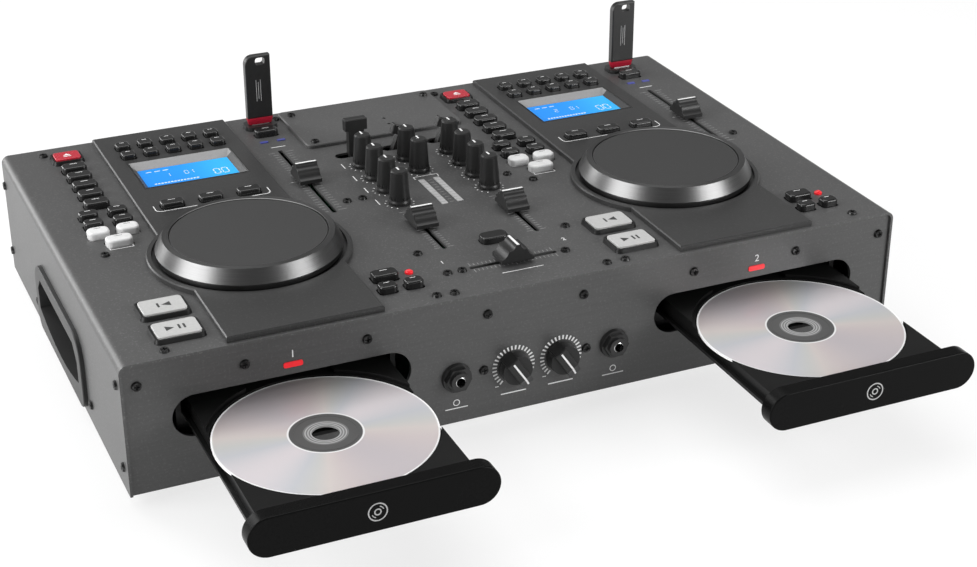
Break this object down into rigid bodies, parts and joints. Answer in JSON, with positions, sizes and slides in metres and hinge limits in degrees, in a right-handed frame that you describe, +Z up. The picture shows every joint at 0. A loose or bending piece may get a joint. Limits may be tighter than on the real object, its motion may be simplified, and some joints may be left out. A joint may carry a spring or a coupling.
{
  "type": "dual disc player and mixer console",
  "caption": "Table-top console with two open disc drawers, two decks of keys, jog wheels and pitch faders, and a mixer section between them.",
  "frame": {"origin": "middle of the footprint, on the table, drawers open", "axes": "+X to the user's right, +Y to the back, +Z up; the drawers and front panel face -Y"},
  "size_m": [0.4876, 0.4436, 0.1374],
  "materials": {
    "steel_paint": "fine textured charcoal",
    "panel_paint": "fine grained grey",
    "pan_steel": "zinc plated",
    "rubber": "matt",
    "grip_plastic": "fine grain",
    "screw_steel": "blackened",
    "display": "clear window over a blue display",
    "lens": "diffusing",
    "black_plastic": "satin",
    "gloss_black": "glossy",
    "board": "solder mask",
    "drive": "moulded",
    "disc": "mirror backed",
    "silver_ring": "brushed",
    "pad": "soft touch",
    "white_key": "satin",
    "grey_key": "satin",
    "red_key": "satin"
  },
  "bodies": {
    "console": {"top_cover": "steel_paint", "front_panel": "panel_paint", "rear_panel": "steel_paint", "base_plate": "pan_steel", "rubber_feet": "rubber", "side_grips": "grip_plastic", "screws": "screw_steel", "deck_plates": "steel_paint", "lcd_panels": "display", "name_plate": "steel_paint", "key_frames": "black_plastic", "indicator_lenses": "lens", "sockets": "black_plastic", "circuit_boards": "board", "drive_frames": "drive"},
    "drawer_a": {"tray_a": "black_plastic", "tray_bezel_a": "gloss_black"},
    "disc_a": {"disc_a": "disc"},
    "jog_a": {"jog_wheel_a": "silver_ring", "jog_pad_a": "pad"},
    "memory_stick_a": {"memory_stick_a": "black_plastic"},
    "black_keys_a": {"black_keys_a": "gloss_black"},
    "white_keys_a": {"white_keys_a": "white_key"},
    "memory_keys_a": {"memory_keys_a": "gloss_black"},
    "eject_key_a": {"eject_key_a": "red_key"},
    "cue_key_a": {"cue_key_a": "grey_key"},
    "play_key_a": {"play_key_a": "grey_key"},
    "pitch_fader_a": {"pitch_fader_a": "black_plastic"},
    "channel_fader_a": {"channel_fader_a": "black_plastic"},
    "drawer_b": {"tray_b": "black_plastic", "tray_bezel_b": "gloss_black"},
    "disc_b": {"disc_b": "disc"},
    "jog_b": {"jog_wheel_b": "silver_ring", "jog_pad_b": "pad"},
    "memory_stick_b": {"memory_stick_b": "black_plastic"},
    "black_keys_b": {"black_keys_b": "gloss_black"},
    "white_keys_b": {"white_keys_b": "white_key"},
    "memory_keys_b": {"memory_keys_b": "gloss_black"},
    "eject_key_b": {"eject_key_b": "red_key"},
    "cue_key_b": {"cue_key_b": "grey_key"},
    "play_key_b": {"play_key_b": "grey_key"},
    "pitch_fader_b": {"pitch_fader_b": "black_plastic"},
    "channel_fader_b": {"channel_fader_b": "black_plastic"},
    "crossfader": {"crossfader": "black_plastic"},
    "selector_a": {"selector_a": "black_plastic"},
    "selector_mid": {"selector_mid": "black_plastic"},
    "selector_b": {"selector_b": "black_plastic"},
    "knob_gain_a": {"knob_gain_a": "black_plastic"},
    "knob_high_a": {"knob_high_a": "black_plastic"},
    "knob_mid_a": {"knob_mid_a": "black_plastic"},
    "knob_low_a": {"knob_low_a": "black_plastic"},
    "knob_mic_high": {"knob_mic_high": "black_plastic"},
    "knob_mic_low": {"knob_mic_low": "black_plastic"},
    "knob_gain_b": {"knob_gain_b": "black_plastic"},
    "knob_high_b": {"knob_high_b": "black_plastic"},
    "knob_mid_b": {"knob_mid_b": "black_plastic"},
    "knob_low_b": {"knob_low_b": "black_plastic"},
    "mic_dial": {"mic_dial": "black_plastic"},
    "phones_dial": {"phones_dial": "black_plastic"},
    "mix_cue_key": {"mix_cue_key": "gloss_black"}
  },
  "joints": [
    {"name": "drawer_a_slide", "type": "slide", "parent": "console", "child": "drawer_a", "axis": [0, 1, 0], "range_m": [0, 0.1255]},
    {"name": "disc_a_spin", "type": "hinge", "parent": "drawer_a", "child": "disc_a", "pos_m": [-0.14575, -0.146, 0.05005], "axis": [0, 0, 1], "continuous": true},
    {"name": "jog_a_turn", "type": "hinge", "parent": "console", "child": "jog_a", "pos_m": [-0.13645, 0.00725, 0.094], "axis": [0, 0, 1], "continuous": true},
    {"name": "memory_stick_a_pull", "type": "slide", "parent": "console", "child": "memory_stick_a", "axis": [0, 0, 1], "range_m": [0, 0.022]},
    {"name": "black_keys_a_press", "type": "slide", "parent": "console", "child": "black_keys_a", "axis": [0, 0, -1], "range_m": [0, 0.0012], "stiffness_N_per_m": 300, "springref_m": -0.001},
    {"name": "white_keys_a_press", "type": "slide", "parent": "console", "child": "white_keys_a", "axis": [0, 0, -1], "range_m": [0, 0.0012], "stiffness_N_per_m": 250, "springref_m": -0.001},
    {"name": "memory_keys_a_press", "type": "slide", "parent": "console", "child": "memory_keys_a", "axis": [0, 0, -1], "range_m": [0, 0.0012], "stiffness_N_per_m": 300, "springref_m": -0.001},
    {"name": "eject_key_a_press", "type": "slide", "parent": "console", "child": "eject_key_a", "axis": [0, 0, -1], "range_m": [0, 0.0012], "stiffness_N_per_m": 200, "springref_m": -0.001},
    {"name": "cue_key_a_press", "type": "slide", "parent": "console", "child": "cue_key_a", "axis": [0, 0, -1], "range_m": [0, 0.0012], "stiffness_N_per_m": 250, "springref_m": -0.001},
    {"name": "play_key_a_press", "type": "slide", "parent": "console", "child": "play_key_a", "axis": [0, 0, -1], "range_m": [0, 0.0012], "stiffness_N_per_m": 250, "springref_m": -0.001},
    {"name": "pitch_fader_a_slide", "type": "slide", "parent": "console", "child": "pitch_fader_a", "axis": [0, 1, 0], "range_m": [-0.047, 0.047]},
    {"name": "channel_fader_a_slide", "type": "slide", "parent": "console", "child": "channel_fader_a", "axis": [0, 1, 0], "range_m": [-0.0295, 0.0155]},
    {"name": "drawer_b_slide", "type": "slide", "parent": "console", "child": "drawer_b", "axis": [0, 1, 0], "range_m": [0, 0.1255]},
    {"name": "disc_b_spin", "type": "hinge", "parent": "drawer_b", "child": "disc_b", "pos_m": [0.14575, -0.146, 0.05005], "axis": [0, 0, 1], "continuous": true},
    {"name": "jog_b_turn", "type": "hinge", "parent": "console", "child": "jog_b", "pos_m": [0.13855, 0.00725, 0.094], "axis": [0, 0, 1], "continuous": true},
    {"name": "memory_stick_b_pull", "type": "slide", "parent": "console", "child": "memory_stick_b", "axis": [0, 0, 1], "range_m": [0, 0.022]},
    {"name": "black_keys_b_press", "type": "slide", "parent": "console", "child": "black_keys_b", "axis": [0, 0, -1], "range_m": [0, 0.0012], "stiffness_N_per_m": 300, "springref_m": -0.001},
    {"name": "white_keys_b_press", "type": "slide", "parent": "console", "child": "white_keys_b", "axis": [0, 0, -1], "range_m": [0, 0.0012], "stiffness_N_per_m": 250, "springref_m": -0.001},
    {"name": "memory_keys_b_press", "type": "slide", "parent": "console", "child": "memory_keys_b", "axis": [0, 0, -1], "range_m": [0, 0.0012], "stiffness_N_per_m": 300, "springref_m": -0.001},
    {"name": "eject_key_b_press", "type": "slide", "parent": "console", "child": "eject_key_b", "axis": [0, 0, -1], "range_m": [0, 0.0012], "stiffness_N_per_m": 200, "springref_m": -0.001},
    {"name": "cue_key_b_press", "type": "slide", "parent": "console", "child": "cue_key_b", "axis": [0, 0, -1], "range_m": [0, 0.0012], "stiffness_N_per_m": 250, "springref_m": -0.001},
    {"name": "play_key_b_press", "type": "slide", "parent": "console", "child": "play_key_b", "axis": [0, 0, -1], "range_m": [0, 0.0012], "stiffness_N_per_m": 250, "springref_m": -0.001},
    {"name": "pitch_fader_b_slide", "type": "slide", "parent": "console", "child": "pitch_fader_b", "axis": [0, 1, 0], "range_m": [-0.047, 0.047]},
    {"name": "channel_fader_b_slide", "type": "slide", "parent": "console", "child": "channel_fader_b", "axis": [0, 1, 0], "range_m": [-0.0295, 0.0155]},
    {"name": "crossfader_slide", "type": "slide", "parent": "console", "child": "crossfader", "axis": [1, 0, 0], "range_m": [-0.021, 0.021]},
    {"name": "selector_a_slide", "type": "slide", "parent": "console", "child": "selector_a", "axis": [1, 0, 0], "range_m": [-0.0084, 0.0022]},
    {"name": "selector_mid_tip", "type": "hinge", "parent": "console", "child": "selector_mid", "pos_m": [-0.001, 0.12325, 0.0805], "axis": [0, 1, 0], "range_deg": [-40, 0]},
    {"name": "selector_b_tip", "type": "hinge", "parent": "console", "child": "selector_b", "pos_m": [0.0308, 0.12325, 0.0805], "axis": [0, 1, 0], "range_deg": [-40, 0]},
    {"name": "knob_gain_a_turn", "type": "hinge", "parent": "console", "child": "knob_gain_a", "pos_m": [-0.0303, 0.10225, 0.096], "axis": [0, 0, 1], "range_deg": [-150, 150]},
    {"name": "knob_high_a_turn", "type": "hinge", "parent": "console", "child": "knob_high_a", "pos_m": [-0.0303, 0.08095, 0.096], "axis": [0, 0, 1], "range_deg": [-150, 150]},
    {"name": "knob_mid_a_turn", "type": "hinge", "parent": "console", "child": "knob_mid_a", "pos_m": [-0.0303, 0.05965, 0.096], "axis": [0, 0, 1], "range_deg": [-150, 150]},
    {"name": "knob_low_a_turn", "type": "hinge", "parent": "console", "child": "knob_low_a", "pos_m": [-0.0303, 0.03835, 0.096], "axis": [0, 0, 1], "range_deg": [-150, 150]},
    {"name": "knob_mic_high_turn", "type": "hinge", "parent": "console", "child": "knob_mic_high", "pos_m": [0, 0.10225, 0.096], "axis": [0, 0, 1], "range_deg": [-150, 150]},
    {"name": "knob_mic_low_turn", "type": "hinge", "parent": "console", "child": "knob_mic_low", "pos_m": [0, 0.08095, 0.096], "axis": [0, 0, 1], "range_deg": [-150, 150]},
    {"name": "knob_gain_b_turn", "type": "hinge", "parent": "console", "child": "knob_gain_b", "pos_m": [0.0303, 0.10225, 0.096], "axis": [0, 0, 1], "range_deg": [-150, 150]},
    {"name": "knob_high_b_turn", "type": "hinge", "parent": "console", "child": "knob_high_b", "pos_m": [0.0303, 0.08095, 0.096], "axis": [0, 0, 1], "range_deg": [-150, 150]},
    {"name": "knob_mid_b_turn", "type": "hinge", "parent": "console", "child": "knob_mid_b", "pos_m": [0.0303, 0.05965, 0.096], "axis": [0, 0, 1], "range_deg": [-150, 150]},
    {"name": "knob_low_b_turn", "type": "hinge", "parent": "console", "child": "knob_low_b", "pos_m": [0.0303, 0.03835, 0.096], "axis": [0, 0, 1], "range_deg": [-150, 150]},
    {"name": "mic_dial_turn", "type": "hinge", "parent": "console", "child": "mic_dial", "pos_m": [-0.014, -0.10025, 0.0349], "axis": [0, 1, 0], "range_deg": [-60, 240]},
    {"name": "phones_dial_turn", "type": "hinge", "parent": "console", "child": "phones_dial", "pos_m": [0.0162, -0.10025, 0.0349], "axis": [0, 1, 0], "range_deg": [-60, 240]},
    {"name": "mix_cue_key_press", "type": "slide", "parent": "console", "child": "mix_cue_key", "axis": [0, 0, -1], "range_m": [0, 0.0012], "stiffness_N_per_m": 300, "springref_m": -0.001}
  ]
}
